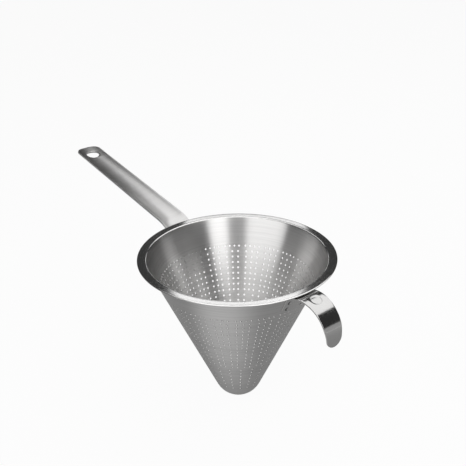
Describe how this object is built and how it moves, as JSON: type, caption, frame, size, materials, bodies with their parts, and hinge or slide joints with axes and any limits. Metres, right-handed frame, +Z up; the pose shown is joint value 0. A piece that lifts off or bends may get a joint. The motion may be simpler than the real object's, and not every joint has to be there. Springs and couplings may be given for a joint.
{
  "type": "chinois strainer",
  "caption": "Conical strainer of perforated sheet steel with a flat rim, a long trough handle with a hanging hole, and a bent hook that sits on a pot's edge.",
  "frame": {"origin": "centre of the rim circle, on the bowl's axis, level with the rim's top face", "axes": "+Z up along the bowl's axis, -X along the handle, +X towards the hook, +Y to the left when looking from the handle to the hook"},
  "size_m": [0.4323, 0.2, 0.199],
  "materials": {
    "bowl_steel": "satin, turned on a lathe",
    "handle_steel": "satin, brushed along its length",
    "hook_steel": "polished",
    "weld_steel": "dull, as welded"
  },
  "bodies": {
    "root": {"strainer_cone": "bowl_steel", "handle": "handle_steel", "handle_spot_welds": "weld_steel", "support_hook": "hook_steel", "hook_spot_welds": "weld_steel"}
  },
  "joints": []
}
